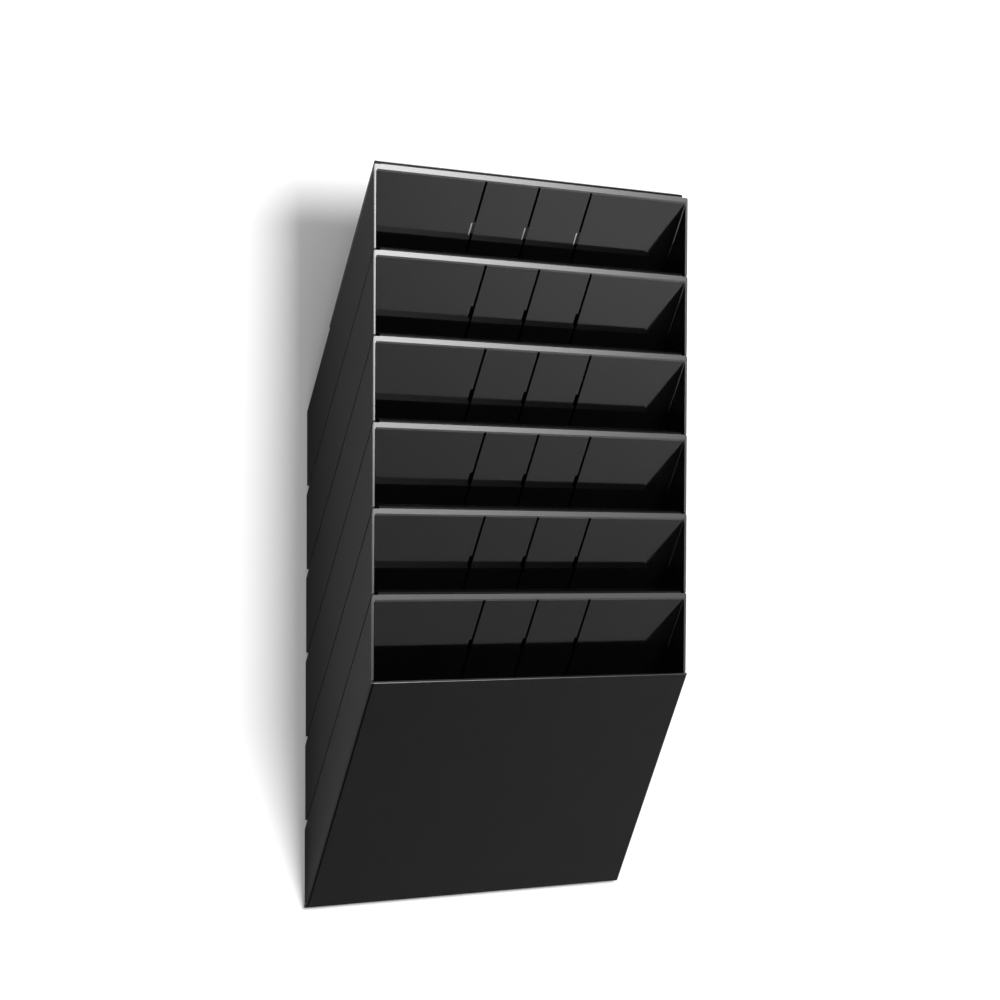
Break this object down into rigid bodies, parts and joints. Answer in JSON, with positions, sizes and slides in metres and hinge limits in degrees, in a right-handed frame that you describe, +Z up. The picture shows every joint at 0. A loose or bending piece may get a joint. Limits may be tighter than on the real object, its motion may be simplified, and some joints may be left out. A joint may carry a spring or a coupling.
{
  "type": "wall chart rack",
  "caption": "Wall-hung chart rack of tilted plastic pockets that plug into each other in a column, the lowest one closed by a sloping plate, held by screws through hidden back plates.",
  "frame": {"origin": "on the wall plane, midway between the two screws of the top pocket", "axes": "+X along the wall to the right seen from the front, +Y into the wall, +Z up the column of pockets"},
  "size_m": [0.34, 0.1358, 0.626],
  "materials": {
    "black_plastic": "glossy moulded faces, satin outer sides and cover",
    "screw_steel": "zinc-plated steel"
  },
  "bodies": {
    "root": {"pocket_1": "black_plastic", "pocket_1_screw_left": "screw_steel", "pocket_1_screw_right": "screw_steel", "pocket_2": "black_plastic", "pocket_2_screw_left": "screw_steel", "pocket_2_screw_right": "screw_steel", "pocket_3": "black_plastic", "pocket_3_screw_left": "screw_steel", "pocket_3_screw_right": "screw_steel", "pocket_4": "black_plastic", "pocket_4_screw_left": "screw_steel", "pocket_4_screw_right": "screw_steel", "pocket_5": "black_plastic", "pocket_5_screw_left": "screw_steel", "pocket_5_screw_right": "screw_steel", "pocket_6": "black_plastic", "pocket_6_screw_left": "screw_steel", "pocket_6_screw_right": "screw_steel", "front_cover": "black_plastic"}
  },
  "joints": []
}
